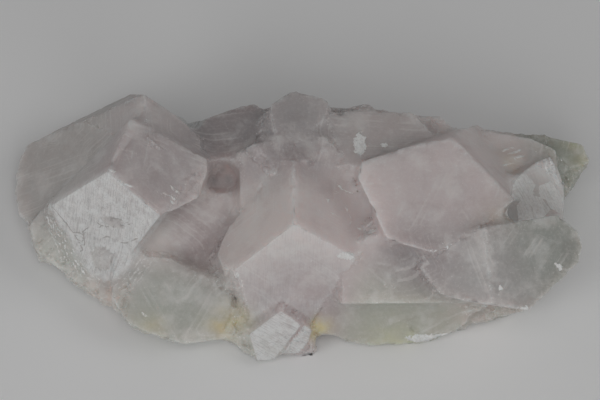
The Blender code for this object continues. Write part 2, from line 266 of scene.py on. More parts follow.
@dataclass(frozen=True)
class Outline:
    """A convex outline on a frosted face, as corners across and along its striations in millimetres."""

    face: FrostedFace
    corners: tuple[tuple[float, float], ...]

    def insets(self, points: np.ndarray) -> np.ndarray:
        """How far each point lies inside each side of the outline, seen square to the face.

        Args:
            points: Rows of places, in millimetres.

        Returns:
            A row of distances for each side, less than 0 outside it.
        """
        flat = self.face.grain(points)
        corners = np.array(self.corners)
        rows = []
        for start, end in zip(corners, np.roll(corners, -1, axis=0)):
            along = (end - start) / np.linalg.norm(end - start)
            rows.append((flat[:, 1] - start[1]) * along[0] - (flat[:, 0] - start[0]) * along[1])
        return np.array(rows)

    def inset(self, points: np.ndarray) -> np.ndarray:
        """How far each point lies inside the whole outline, less than 0 outside it."""
        return self.insets(points).min(axis=0)


@dataclass(frozen=True)
class Tone:
    """A colour round one place: a crystal's tone, part painted light and shade, or a stain over it.

    at is in millimetres, and reach is where the colour has faded to a third.
    """

    at: Place
    reach: float
    colour: Colour
    strength: float = 1.0

    def fade(self, points: np.ndarray) -> np.ndarray:
        """How much of the colour each point has: 1 at its place, and less away from it."""
        return np.exp(-(np.linalg.norm((points - np.array(self.at)), axis=1) / self.reach) ** 2)


def nearest_line(lines: tuple[tuple[Place, ...], ...], points: np.ndarray,
                 normals: np.ndarray | None = None) -> np.ndarray:
    """How far each point is from the nearest of some lines.

    Args:
        lines: Each line's corners, in millimetres.
        points: Rows of places, in millimetres.
        normals: The surface's normal at each point, to measure along the surface alone, and to make the
            distance negative on one side of a line.

    Returns:
        One distance for each point.
    """
    nearest = np.full(len(points), np.inf)
    for start, end in (pair for line in lines for pair in zip(np.array(line), np.array(line[1:]))):
        along = end - start
        run = np.clip((points - start) @ along / (along @ along), 0.0, 1.0)
        away = points - start - run[:, None] * along
        if normals is not None:
            lift = np.einsum("ij,ij->i", away, normals)
            away -= lift[:, None] * normals
            away[np.abs(lift) > OFF_SHEET] = FAR
        distance = np.linalg.norm(away, axis=1)
        if normals is not None:
            side = np.einsum("ij,ij->i", np.cross(along, away), normals)
            distance *= np.where(side < 0.0, -1.0, 1.0)
        nearest = np.where(np.abs(distance) < np.abs(nearest), distance, nearest)
    return nearest


@dataclass(frozen=True)
class Patch:
    """A rounded patch of the surface: its middle and its half sizes along x, y and z, in millimetres."""

    at: Place
    half: Place

    def depth(self, points: np.ndarray) -> np.ndarray:
        """1 in the middle of the patch, 0 at its outline and less outside it."""
        return 1.0 - np.linalg.norm((points - np.array(self.at)) / np.array(self.half), axis=1)


@dataclass(frozen=True)
class SoftRidge:
    """A ridge worn down by drop, over reach to each side of its line, in millimetres."""

    line: tuple[Place, ...]
    reach: float
    drop: float

    def off(self, points: np.ndarray) -> np.ndarray:
        """How far each point is from the ridge, in reaches."""
        return nearest_line((self.line,), points) / self.reach


# The raised crystal's bright face, frost and painted sheen alike, carried on over the lower mass under
# it.
CARRIED_DOWN = Outline(FROSTED[0], (
    (0.2, -18.3), (14.1, -10.8), (11.0, -0.5), (8.3, 7.6), (4.3, 11.2), (0.0, 11.2), (-5.0, 8.5),
    (-13.6, 0.1),
))
# The cleaved plates left on the broken crystal's lower face, painted bright as reflections.
CLEAVED = tuple(Outline(FROSTED[4], corners) for corners in (
    ((-1.2, -4.3), (-0.8, -6.2), (5.0, -9.8), (6.3, -6.0), (5.9, -2.6), (0.6, -2.3)),
    ((0.2, -1.9), (6.1, -2.2), (6.5, 3.0), (3.0, 4.4), (-1.2, 3.4)),
    ((6.7, -4.8), (9.8, -5.4), (10.8, 0.8), (8.2, 4.6), (6.9, 3.0)),
))
CRACKS = (
    ((-43.8, -8.0, 23.6), (-42.0, -8.6, 23.9), (-40.0, -9.3, 24.6)),
    ((-53.0, -5.4, 17.3), (-51.5, -6.8, 15.2), (-50.4, -7.3, 15.4), (-49.2, -7.5, 16.4),
     (-47.7, -7.6, 18.6), (-47.0, -7.7, 19.2)),
    ((-45.9, -7.7, 21.0), (-45.4, -8.1, 20.4), (-43.8, -8.8, 20.7), (-41.2, -9.6, 22.0),
     (-38.6, -10.2, 24.0)),
    ((-46.3, -9.0, 16.2), (-43.9, -9.7, 17.4), (-43.1, -9.8, 18.5), (-41.9, -10.7, 17.7),
     (-40.7, -11.3, 17.4), (-38.5, -11.8, 19.0), (-36.9, -12.1, 20.8)),
    ((-55.9, -1.9, 20.2), (-54.2, -4.6, 18.2), (-51.5, -6.8, 15.1), (-49.3, -9.8, 11.8)),
    ((-49.2, -7.5, 16.4), (-48.8, -8.7, 13.4), (-50.0, -9.8, 11.4)),
)
# Fine lines painted near-white as highlights, where tiny steps catch the light.
GLINTS = (
    ((46.2, 8.6, 22.4), (50.1, 10.4, 22.8)), ((46.9, 7.3, 22.2), (50.8, 9.0, 22.6)),
    ((45.5, 9.9, 22.4), (48.3, 11.2, 22.8)), ((55.5, 4.7, 27.5), (57.1, 1.3, 26.2)),
    ((57.0, 5.3, 26.5), (58.3, 1.3, 25.3)), ((54.9, 3.4, 27.6), (56.2, 1.2, 26.8)),
    ((56.2, 5.9, 27.0), (57.0, 4.0, 26.5)), ((0.9, -20.3, 20.5), (2.7, -19.8, 21.8)),
    ((1.8, -19.4, 22.8), (3.1, -19.0, 23.9)), ((-31.5, -1.9, 32.5), (-30.7, -2.9, 32.0)),
    ((-29.8, -4.1, 31.4), (-27.2, -5.6, 30.1)), ((-31.3, -6.0, 31.6), (-30.5, -6.9, 31.1)),
    ((-30.1, -6.8, 30.9), (-29.5, -7.1, 30.7)), ((-28.7, -6.7, 30.4), (-28.0, -7.4, 29.8)),
    ((-28.8, -7.9, 30.2), (-28.2, -8.3, 29.7)), ((-40.3, -5.7, 35.1), (-37.2, -6.5, 33.8)),
    ((-42.3, -3.6, 36.4), (-41.0, -3.9, 35.8)), ((9.9, -1.9, 24.8), (12.5, -2.2, 23.1)),
    ((4.9, -5.3, 28.1), (7.0, -5.7, 26.9)),
    ((8.5, -0.8, 25.8), (9.5, -1.8, 25.1), (7.9, -3.2, 26.1)),
    ((6.5, -8.9, 27.3), (9.2, -9.5, 25.6), (11.7, -10.2, 24.1), (14.6, -12.3, 23.2)),
    ((9.4, -11.9, 25.7), (11.2, -12.3, 24.5)), ((7.6, -13.2, 26.9), (8.9, -13.2, 26.0)),
    ((12.3, -14.0, 23.9), (13.4, -14.4, 23.3)), ((10.3, -7.4, 24.8), (11.7, -8.5, 24.0)),
    ((9.2, -6.0, 25.5), (11.0, -6.6, 24.3)), ((-14.4, -12.6, 20.4), (-13.5, -12.3, 21.2)),
    ((-12.8, -14.9, 22.0), (-10.3, -13.7, 24.2)), ((-16.7, -12.7, 18.3), (-16.0, -12.5, 18.9)),
    ((-13.0, -21.0, 18.1), (-12.8, -21.8, 16.0)), ((-14.8, -19.9, 19.4), (-14.1, -20.7, 18.5)),
    ((30.8, -13.5, 28.9), (31.4, -13.9, 28.8)), ((28.3, -13.7, 28.9), (28.8, -13.2, 29.1)),
    ((31.6, -17.3, 27.6), (32.3, -17.2, 27.7)), ((45.4, 7.4, 23.4), (50.1, 9.7, 21.8)),
    ((46.0, 5.3, 24.0), (50.8, 8.4, 21.3)), ((53.8, 10.4, 22.0), (55.3, 4.6, 27.7)),
    ((55.1, 4.5, 27.9), (56.2, 2.9, 26.9)), ((56.2, 4.2, 27.0), (57.8, 2.4, 25.7)),
    ((56.9, 2.7, 26.4), (58.7, 1.0, 24.9)), ((57.1, 1.3, 26.2), (58.6, 0.0, 23.1)),
    ((16.6, -22.1, 19.2), (21.5, -23.2, 18.0)), ((23.6, -27.2, 3.3), (25.2, -27.5, 2.5)),
    ((27.2, -27.8, 2.1), (29.5, -27.3, 2.6), (33.3, -26.7, 3.4)),
    ((-35.7, -24.0, 8.7), (-34.3, -25.3, 8.1)),
)
# Patches painted near-white as reflections of broken and cleaved surfaces.
GLEAMS = tuple(Patch(at, half) for at, half in (
    ((45.9, -8.0, 24.5), (3.4, 4.0, 3.4)), ((13.6, 8.6, 28.1), (1.7, 3.6, 2.4)),
    ((19.0, 8.5, 27.9), (1.0, 1.0, 1.0)), ((57.4, -21.2, 23.3), (1.5, 1.3, 1.2)),
    ((44.7, -26.7, 23.3), (0.7, 1.2, 1.0)), ((49.9, -29.9, 20.0), (1.2, 1.0, 1.0)),
    ((16.6, -12.9, 24.2), (1.9, 1.3, 1.4)), ((29.0, -27.4, 2.6), (6.0, 1.5, 1.2)),
    ((10.4, -18.8, 24.6), (2.4, 1.0, 1.3)), ((-14.4, -20.4, 18.9), (0.9, 0.9, 1.2)),
))
POLISHED = tuple(Patch(at, half) for at, half in (
    ((-42.0, -8.7, 22.9), (4.2, 2.4, 1.7)), ((-44.9, -11.9, 12.4), (3.2, 3.2, 3.2)),
    ((2.5, -21.5, 16.5), (5.0, 4.0, 5.0)),
))
SMOOTHED = (
    Patch((-2.5, 6.5, 30.0), (11.0, 6.0, 4.5)),
    Patch((4.5, 12.0, 28.5), (4.0, 4.0, 3.0)),
)
FILLED = (                         # each hollow, with how many millimetres its floor rises
    (Patch((-19.0, -13.0, 8.0), (9.5, 8.5, 7.5)), 3.2),
    (Patch((-1.0, 3.8, 29.8), (5.0, 3.4, 2.6)), 1.4),
    (Patch((48.5, 7.6, 21.6), (6.0, 4.6, 3.6)), 2.4),
)
SOFT_RIDGES = (
    SoftRidge(((-1.3, -11.8, 31.0), (-1.2, -3.0, 27.0)), 3.4, 0.8),
    SoftRidge(((-41.7, -2.0, 36.4), (-37.5, 5.0, 36.0)), 2.0, 0.4),
    SoftRidge(((34.0, 8.0, 34.0), (49.2, -7.0, 28.0)), 2.0, 0.4),
)
BODY = np.array((0.757, 0.697, 0.671))       # the colour where no crystal has a tone of its own
# Partly each crystal's own colour, partly painted light and shade that lightens or darkens places.
TONES = tuple(Tone(*row) for row in (
    ((-55.3, 6.7, 15.0), 14.0, (0.57, 0.538, 0.52)),
    ((-33.8, 0.4, 33.8), 9.0, (0.545, 0.488, 0.488)),
    ((-36.0, 15.0, 31.0), 7.0, (0.62, 0.575, 0.57)),
    ((-45.0, -9.0, 19.0), 9.0, (0.56, 0.535, 0.53)),
    ((-28.0, -24.0, 10.0), 9.0, (0.49, 0.50, 0.455)),
    ((-21.8, -8.0, 9.0), 8.0, (0.52, 0.44, 0.44)),
    ((-33.5, -9.0, 12.0), 4.0, (0.90, 0.84, 0.81)),
    ((-10.0, -8.0, 25.0), 9.0, (0.80, 0.74, 0.72)),
    ((10.0, -6.0, 25.0), 9.0, (0.79, 0.706, 0.696)),
    ((-2.0, -23.0, 14.0), 9.0, (0.57, 0.495, 0.498)),
    ((-14.0, 13.0, 25.0), 8.0, (0.41, 0.372, 0.376)),
    ((-1.2, 13.4, 30.0), 8.0, (0.49, 0.466, 0.466)),
    ((0.0, 5.5, 29.5), 6.0, (0.49, 0.424, 0.428)),
    ((-9.0, 3.0, 28.0), 5.0, (0.48, 0.425, 0.43)),
    ((16.0, 12.0, 28.0), 9.0, (0.585, 0.535, 0.525)),
    ((31.4, -4.0, 31.0), 11.0, (0.67, 0.596, 0.592)),
    ((42.0, 9.0, 25.0), 8.0, (0.757, 0.679, 0.662)),
    ((43.0, -23.0, 26.0), 8.0, (0.48, 0.458, 0.45)),
    ((53.0, -17.0, 25.0), 8.0, (0.375, 0.385, 0.355)),
    ((51.0, 1.0, 20.0), 7.0, (0.71, 0.68, 0.665)),
    ((60.0, 14.0, 16.0), 7.0, (0.415, 0.428, 0.375)),
    ((24.0, -26.0, 6.0), 10.0, (0.53, 0.53, 0.468)),
    ((28.0, -17.0, 22.0), 7.0, (0.40, 0.352, 0.355)),
    ((-9.0, -30.0, 6.0), 4.5, (0.59, 0.60, 0.55)),
    ((-6.0, -26.0, 10.0), 4.0, (0.56, 0.52, 0.51)),
    ((-54.0, -8.0, 8.0), 7.0, (0.54, 0.552, 0.495)),
))
STAINS = tuple(Tone(*row) for row in (
    ((65.5, 15.2, 15.0), 4.0, (0.56, 0.57, 0.35), 0.6),
    ((-17.0, -26.0, 7.0), 4.0, (0.722, 0.619, 0.378), 0.6),
    ((3.8, -26.4, 5.6), 2.6, (0.84, 0.733, 0.367), 0.9),
    ((-14.0, -25.0, 8.0), 3.0, (0.791, 0.74, 0.482), 0.6),
    ((43.0, -10.8, 25.3), 4.0, (0.84, 0.63, 0.48), 0.6),
    ((47.5, 7.0, 21.0), 3.0, (0.84, 0.695, 0.485), 0.5),
    ((-43.0, -19.0, 6.0), 5.0, (0.791, 0.662, 0.585), 0.6),
    ((22.0, -30.0, 0.0), 6.0, (0.78, 0.77, 0.50), 0.6),
    ((-33.0, -26.0, 6.0), 3.0, (0.70, 0.64, 0.43), 0.5),
    ((-2.0, -20.0, 9.0), 5.0, (0.76, 0.63, 0.64), 0.6),
    ((40.0, -21.0, 6.0), 8.0, (0.774, 0.654, 0.619), 0.5),
    ((-17.1, 6.9, 19.8), 5.0, (0.722, 0.585, 0.568), 0.6),
))


def smooth_off(points: np.ndarray) -> np.ndarray:
    """1 where the surface keeps its roughness, and 0 in the middle of each smooth place.

    Args:
        points: Rows of places, in millimetres.

    Returns:
        One number for each point.
    """
    kept = np.ones(len(points))
    for patch in SMOOTHED:
        kept *= 1.0 - smoothstep(0.0, 0.35, patch.depth(points))
    return kept


@dataclass(frozen=True)
class NearEdge:
    """The sharp edge nearest to each of some points, with one row for each point.

    distance is how far it is and foot the nearest place on it, in millimetres. ridge is 1 for a ridge
    and 0 for a groove. crisp is 1 where it borders a frosted face, and 0 elsewhere.
    """

    distance: np.ndarray
    foot: np.ndarray
    ridge: np.ndarray
    crisp: np.ndarray


@dataclass
class SolidFaces:
    """The flat faces and sharp edges of the solid, to ask which one a point is on."""

    normals: np.ndarray
    areas: np.ndarray
    tree: BVHTree
    edge_tree: KDTree
    edge_rows: np.ndarray
    frosted: list[int]

    @classmethod
    def of(cls, solid: bpy.types.Object, sharp_angle: float, spacing: float) -> SolidFaces:
        """Reads a merged copy of the solid.

        Args:
            solid: The copy, before it is remeshed.
            sharp_angle: Two faces that turn by more than this meet at a sharp edge, in degrees.
            spacing: The distance between the points kept along a sharp edge, in millimetres.

        Returns:
            Its faces and edges, in millimetres.
        """
        mesh = solid.data
        corners = [Vector(vertex.co / MM) + Vector(MIDDLE) for vertex in mesh.vertices]
        tree = BVHTree.FromPolygons(corners, [list(polygon.vertices) for polygon in mesh.polygons])
        frosted = [tree.find_nearest(face.at)[2] for face in FROSTED]
        sides: dict[tuple[int, int], list[bpy.types.MeshPolygon]] = {}
        for polygon in mesh.polygons:
            for key in polygon.edge_keys:
                sides.setdefault(key, []).append(polygon)
        limit = math.cos(math.radians(sharp_angle))
        rows = []
        for (first, second), pair in sides.items():
            if len(pair) != 2 or pair[0].normal.dot(pair[1].normal) > limit:
                continue
            start, end = corners[first], corners[second]
            length = (end - start).length
            if length < spacing:
                continue
            across = Vector(pair[1].center - pair[0].center)
            ridge = float(across.dot(pair[0].normal) < 0.0)
            along = (end - start) / length
            crisp = float(pair[0].index in frosted or pair[1].index in frosted)
            count = max(2, int(length / spacing))
            for step in range(count + 1):
                rows.append((*(start + along * (length * step / count)), *along, ridge, crisp))
        edge_tree = KDTree(len(rows))
        for index, row in enumerate(rows):
            edge_tree.insert(row[:3], index)
        edge_tree.balance()
        normals = np.array([polygon.normal for polygon in mesh.polygons])
        areas = np.array([polygon.area for polygon in mesh.polygons]) / MM ** 2
        return cls(normals, areas, tree, edge_tree, np.array(rows), frosted)

    def face_at(self, points: np.ndarray) -> np.ndarray:
        """The index of the flat face nearest to each point."""
        return np.array([self.tree.find_nearest(point)[2] for point in points])

    def edges_near(self, points: np.ndarray) -> NearEdge:
        """The sharp edge nearest to each point.

        Args:
            points: Rows of places, in millimetres.

        Returns:
            A row for each point.
        """
        rows = self.edge_rows[[self.edge_tree.find(point)[1] for point in points]]
        start, along = rows[:, :3], rows[:, 3:6]
        run = np.einsum("ij,ij->i", points - start, along)
        foot = start + along * run[:, None]
        return NearEdge(np.linalg.norm(points - foot, axis=1), foot, rows[:, 6], rows[:, 7])


def places(mesh: bpy.types.Mesh) -> np.ndarray:
    """The places of a mesh's vertices, in millimetres.

    Args:
        mesh: The mesh.

    Returns:
        One row for each vertex.
    """
    flat = np.empty(len(mesh.vertices) * 3)
    mesh.vertices.foreach_get("co", flat)
    return flat.reshape(-1, 3) / MM + MIDDLE


def vertex_normals(mesh: bpy.types.Mesh) -> np.ndarray:
    """The mesh's own normals at its vertices.

    Args:
        mesh: The mesh.

    Returns:
        One row for each vertex.
    """
    flat = np.empty(len(mesh.vertices) * 3)
    mesh.vertices.foreach_get("normal", flat)
    return flat.reshape(-1, 3)


def put_places(mesh: bpy.types.Mesh, points: np.ndarray) -> None:
    """Moves a mesh's vertices to some places in millimetres."""
    mesh.vertices.foreach_set("co", ((points - MIDDLE) * MM).ravel())
    mesh.update()


@dataclass
class CalciteSkin:
    """The grown skin of the cluster, as one fine mesh that stands for the faceted solid.

    Lengths are in millimetres, and angles in degrees.
    """

    voxel: float = 0.32
    most_triangles: int = 196_000
    merge_reach: float = 0.002
    flat_angle: float = 0.3        # the solid's triangles that turn by less than this are one flat face
    sharp_angle: float = 14.0      # two flat faces that turn by more than this meet at a sharp edge
    smooth_angle: float = 24.0     # and two small faces of the skin that turn by less are shaded as one
    snap_reach: float = 0.40       # how near a crisp ridge the skin is drawn onto it
    small_face: float = 14.0       # square millimetres: a face this small is rough all over
    broad_face: float = 60.0       # and one this large is a smooth crystal face
    gap_reach: float = 1.3
    fill_rounds: int = 45
    fill_pull: float = 0.9
    fill_least: float = 0.003
    round_rounds: int = 9
    round_pull: float = 0.55
    rest_height: float = 0.25      # the skin under this height stays where the solid rests
    swell: float = 0.11
    chip_depth: float = 0.62
    chip_reach: float = 0.8
    facet_height: float = 0.30
    terrace_height: float = 0.09
    terrace_step: float = 1.15
    plate_slope: float = 3.0       # how sharply the cleaved plates end, for each millimetre
    seed: int = 7

    def copy_of_solid(self, node: bpy.types.Object) -> bpy.types.Object:
        """A merged copy of the solid, with its flat faces whole again.

        Args:
            node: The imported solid, which is left as it is.

        Returns:
            The copy.
        """
        activate(node)
        bpy.ops.object.duplicate()
        skin = bpy.context.view_layer.objects.active
        skin.name = "calcite_skin"
        skin.parent = None
        for key in list(skin.keys()):
            del skin[key]
        bpy.ops.object.mode_set(mode="EDIT")
        bpy.ops.mesh.select_all(action="SELECT")
        bpy.ops.mesh.remove_doubles(threshold=self.merge_reach * MM)
        bpy.ops.mesh.dissolve_limited(angle_limit=math.radians(self.flat_angle))
        bpy.ops.object.mode_set(mode="OBJECT")
        return skin

    def remesh(self, skin: bpy.types.Object) -> None:
        """Turns the piece into one even fine mesh.

        Args:
            skin: The piece, which is changed.
        """
        remesh = skin.modifiers.new("remesh", "REMESH")
        remesh.mode = "VOXEL"
        remesh.voxel_size = self.voxel * MM
        activate(skin)
        bpy.ops.object.modifier_apply(modifier=remesh.name)

    def filling(self, points: np.ndarray) -> np.ndarray:
        """How far the floor of each filled hollow rises.

        Args:
            points: Rows of places, in millimetres.

        Returns:
            A column in millimetres.
        """
        rise = np.zeros(len(points))
        for patch, height in FILLED:
            rise = np.maximum(rise, height * smoothstep(0.0, 0.7, patch.depth(points)))
        return rise[:, None]

    def offset(self, skin: bpy.types.Object, distance: float | np.ndarray) -> None:
        """Moves the whole skin out or in: out, a remesh and in again closes narrow gaps."""
        put_places(skin.data, places(skin.data) + distance * vertex_normals(skin.data))

    def roughness(self, points: np.ndarray, areas: np.ndarray) -> np.ndarray:
        """How rough each point is: 0 where its flat face is broad, and 1 where it is small."""
        return (1.0 - smoothstep(self.small_face, self.broad_face, areas)) * smooth_off(points)

    def weathered(self, mesh: bpy.types.Mesh, points: np.ndarray, normals: np.ndarray,
                  crisp: np.ndarray) -> np.ndarray:
        """Fills the grooves where crystals grew together, and rounds the ridges a little.

        Args:
            mesh: The remeshed skin.
            points: The places of its vertices, in millimetres.
            normals: The normal of the flat face that each vertex is on.
            crisp: 1 at the vertices whose ridge stays sharp, and 0 elsewhere.

        Returns:
            The new places.
        """
        ends = np.empty(len(mesh.edges) * 2, dtype=np.int32)
        mesh.edges.foreach_get("vertices", ends)
        first, second = ends.reshape(-1, 2).T
        size = len(points)
        neighbours = np.bincount(ends, minlength=size)[:, None]
        moved = points.copy()
        for turn in range(self.fill_rounds):
            total = np.column_stack([
                np.bincount(first, row[second], size) + np.bincount(second, row[first], size)
                for row in moved.T
            ])
            pull = total / neighbours - moved
            outward = np.einsum("ij,ij->i", pull, normals)
            wear = self.round_pull * (1.0 - crisp) if turn < self.round_rounds else 0.0
            moved += pull * np.where(outward > self.fill_least, self.fill_pull, wear)[:, None]
        resting = points[:, 2] < self.rest_height
        moved[resting] = points[resting]
        return moved

    def relief(self, points: np.ndarray, edge: NearEdge, rough: np.ndarray,
               noise: SmoothNoise) -> np.ndarray:
        """How far the skin stands out: swells, chipped ridges, broken facets and growth terraces.

        Args:
            points: Rows of places, in millimetres.
            edge: The sharp edge nearest to each point.
            rough: How rough the surface is there, from 0 to 1.
            noise: The noise of the swells and chips.

        Returns:
            One height for each point, in millimetres.
        """
        cells = BrokenCells(self.seed + 1)
        away = smoothstep(0.1, 1.0, edge.distance)
        height = self.swell * (noise(points, 8.0) + 0.5 * noise(points, 3.0)) * (0.4 + 0.6 * away)
        chips = np.clip(noise(points, 1.5) + 0.5 * noise(points, 3.6) - 0.10, 0.0, 0.7)
        chips *= np.exp(-edge.distance / self.chip_reach) * (1.0 - 0.7 * edge.crisp) * edge.ridge
        height -= self.chip_depth * chips
        for ridge in SOFT_RIDGES:
            height -= ridge.drop * np.clip(1.0 - ridge.off(points), 0.0, 1.0) ** 2
        facets = cells(points, 2.1) + 0.45 * cells(points, 0.9)
        height += self.facet_height * facets * rough * (0.45 + 0.55 * away)
        above = [crystal.heights(points).max(axis=1) for crystal in GROWN]
        above = np.choose(own_crystal(points), above)
        steps = above / self.terrace_step + 0.8 * noise(points, 5.0)
        return height + self.terrace_height * (steps - np.floor(steps) - 0.5) * rough * away

    def carve(self, skin: bpy.types.Object, solid: SolidFaces) -> None:
        """Gives the remeshed skin its edges, growth terraces, broken facets and slight swells.

        Args:
            skin: The remeshed skin, which is changed.
            solid: The solid's flat faces and sharp edges.
        """
        mesh = skin.data
        points = places(mesh)
        face = solid.face_at(points)
        normals = solid.normals[face]
        edge = solid.edges_near(points)
        noise = SmoothNoise(self.seed)
        near = edge.crisp * (edge.distance < 2.0 * self.snap_reach)
        pull = np.clip(1.25 - edge.distance / self.snap_reach, 0.0, 1.0) * near * edge.ridge
        pull *= 0.8 + 0.2 * noise(points, 1.3)
        points = self.weathered(mesh, points + (edge.foot - points) * pull[:, None], normals, near)
        put_places(mesh, points)
        lean = smoothstep(0.6, 2.4, edge.distance)[:, None]
        outward = normals * lean + vertex_normals(mesh) * (1.0 - lean)
        outward /= np.linalg.norm(outward, axis=1)[:, None]
        rough = self.roughness(points, solid.areas[face])
        rough *= 1.0 - smoothstep(-0.4, 0.6, CARRIED_DOWN.inset(points))
        moved = points + outward * self.relief(points, edge, rough, noise)[:, None]
        resting = points[:, 2] < self.rest_height
        moved[resting, 2] = points[resting, 2]
        moved[:, 2] = np.maximum(moved[:, 2], 0.0)
        put_places(mesh, moved)

    def thin(self, skin: bpy.types.Object) -> None:
        """Thins the flat parts of the mesh until it is light enough.

        Args:
            skin: The piece, which is changed.
        """
        triangles = sum(len(polygon.vertices) - 2 for polygon in skin.data.polygons)
        if triangles <= self.most_triangles:
            return
        activate(skin)
        decimate = skin.modifiers.new("thin", "DECIMATE")
        decimate.ratio = self.most_triangles / triangles
        decimate.use_collapse_triangulate = True
        bpy.ops.object.modifier_apply(modifier=decimate.name)

    def frosting(self, points: np.ndarray, face: np.ndarray,
                 solid: SolidFaces) -> tuple[np.ndarray, np.ndarray]:
        """The frosted faces and their striations.

        Args:
            points: Rows of places, in millimetres.
            face: The index of the flat face that each point is on.
            solid: The solid's flat faces.

        Returns:
            Its frost and painted sheen, and rows of its place across and along the striations.
        """
        frost_and_sheen = np.zeros(len(points))
        grain = np.zeros((len(points), 3))
        for frosted, index in zip(FROSTED, solid.frosted):
            mine = face == index
            frost_and_sheen[mine] = frosted.frost_and_sheen
            grain[mine, :2] = frosted.grain(points[mine])
        inset = CARRIED_DOWN.inset(points)
        carried = inset > -0.3
        grain[carried, :2] = CARRIED_DOWN.face.grain(points[carried])
        frost_and_sheen[carried] = np.maximum(frost_and_sheen[carried], np.clip(0.5 + 1.6 * inset[carried], 0.0, 1.0))
        return frost_and_sheen, grain

    def gleam(self, points: np.ndarray, face: np.ndarray, solid: SolidFaces) -> np.ndarray:
        """Where broken patches and cleaved plates gleam, as painted reflections.

        Args:
            points: Rows of places, in millimetres.
            face: The index of the flat face that each point is on.
            solid: The solid's flat faces.

        Returns:
            One number for each point, which is over about 0.15 where it gleams.
        """
        found = np.max([patch.depth(points) for patch in GLEAMS], axis=0)
        for plate in CLEAVED:
            mine = face == solid.frosted[FROSTED.index(plate.face)]
            found[mine] = np.maximum(found[mine], 0.15 + self.plate_slope * plate.inset(points[mine]))
        return found

    def paint(self, skin: bpy.types.Object, solid: SolidFaces) -> None:
        """Writes the colours and the masks of the marks into the mesh, for the material to read.

        Args:
            skin: The finished mesh.
            solid: The solid's flat faces and sharp edges.
        """
        mesh = skin.data
        points = places(mesh)
        face = solid.face_at(points)
        edge = solid.edges_near(points)
        frost_and_sheen, grain = self.frosting(points, face, solid)
        ledge, ladder = self.ledges(points)
        hard = np.ones(len(points))
        for ridge in SOFT_RIDGES:
            hard *= smoothstep(0.5, 1.2, ridge.off(points))
        values = {
            "frost_and_sheen": frost_and_sheen,
            "rough": self.roughness(points, solid.areas[face]),
            # rim marks the ridges that get a painted highlight; glint and gleam mark painted highlights.
            "rim": np.exp(-edge.distance / 0.5) * edge.ridge * hard,
            "crack": nearest_line(CRACKS, points, solid.normals[face]),
            "glint": np.abs(nearest_line(GLINTS, points, solid.normals[face])),
            "ledge": ledge,
            "ladder": ladder,
            "edgewise": self.edgewise(points),
            "gleam": self.gleam(points, face, solid),
            "polish": np.max([patch.depth(points) for patch in POLISHED], axis=0),
        }
        values["crack_reach"] = np.abs(values["crack"])
        for name, column in values.items():
            attribute = mesh.attributes.new(name, "FLOAT", "POINT")
            attribute.data.foreach_set("value", np.clip(column, -FAR, FAR))
        mesh.attributes.new("grain", "FLOAT_VECTOR", "POINT").data.foreach_set("vector", grain.ravel())
        tint = self.tint(points)
        mesh.attributes.new("tint", "FLOAT_COLOR", "POINT").data.foreach_set("color", tint.ravel())

    def ledges(self, points: np.ndarray) -> tuple[np.ndarray, np.ndarray]:
        """The broken ledges that step away from the lower sides of the raised crystal's bright diamond.

        Args:
            points: Rows of places, in millimetres.

        Returns:
            How far each point lies outside those sides, and 1 where the ledges show or 0 elsewhere.
        """
        off_plane = np.abs(RAISED_LEFT.heights(points)[:, 0])
        insets = CARRIED_DOWN.insets(points)
        outside = -insets[1:-1].min(axis=0)
        shown = smoothstep(0.1, 0.4, outside) * (1.0 - smoothstep(2.8, 4.6, outside))
        shown *= 1.0 - smoothstep(0.0, 0.8, -np.minimum(insets[0], insets[-1]))
        shown *= 1.0 - smoothstep(0.3, 1.6, -insets[4])
        shown *= 1.0 - smoothstep(4.0, 6.0, off_plane)
        shown *= np.where(insets[6] < insets[2], 1.0, 0.55)
        return outside, shown

    def edgewise(self, points: np.ndarray) -> np.ndarray:
        """How far each point lies below the rhomb face next to its own, in millimetres."""
        second = [np.sort(crystal.heights(points), axis=1)[:, 1] for crystal in GROWN]
        return -np.choose(own_crystal(points), second)

    def tint(self, points: np.ndarray) -> np.ndarray:
        """The body colour at each point: crystal tones with painted light and shade, then the stains.

        Args:
            points: Rows of places, in millimetres.

        Returns:
            Rows of red, green, blue and 1.
        """
        noise = SmoothNoise(self.seed + 5)
        total = np.full((len(points), 3), 1e-4) * BODY
        weight = np.full(len(points), 1e-4)
        for tone in TONES:
            pull = tone.fade(points) * (1.0 + 0.3 * noise(points, 6.0))
            total += pull[:, None] * np.array(tone.colour)
            weight += pull
        colour = total / weight[:, None]
        for stain in STAINS:
            amount = stain.strength * stain.fade(points)
            amount *= np.clip(1.0 + 0.8 * noise(points, 1.8), 0.0, 1.5)
            colour += np.clip(amount, 0.0, 1.0)[:, None] * (np.array(stain.colour) - colour)
        return np.hstack([colour, np.ones((len(points), 1))])

    def build(self, node: bpy.types.Object) -> bpy.types.Object:
        """Makes the skin.

        Args:
            node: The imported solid.

        Returns:
            The skin.
        """
        skin = self.copy_of_solid(node)
        solid = SolidFaces.of(skin, self.sharp_angle, 0.5 * self.voxel)
        self.remesh(skin)
        self.offset(skin, self.gap_reach + self.filling(places(skin.data)))
        self.remesh(skin)
        self.offset(skin, -self.gap_reach)
        self.carve(skin, solid)
        self.thin(skin)
        self.paint(skin, solid)
        activate(skin)
        bpy.ops.object.shade_smooth_by_angle(angle=math.radians(self.smooth_angle))
        LOG.info("%s: %d faces", skin.name, len(skin.data.polygons))
        return skin


class Sum(Enum):
    """The sums that the material needs, as the Math node names them."""

    ADD = "ADD"
    SUBTRACT = "SUBTRACT"
    MULTIPLY = "MULTIPLY"
    DIVIDE = "DIVIDE"
    MAXIMUM = "MAXIMUM"
    ABSOLUTE = "ABSOLUTE"
    FRACTION = "FRACT"


class Blend(Enum):
    """How one colour goes over another, as the Mix node names it."""

    OVER = "MIX"
    DARKEN = "MULTIPLY"


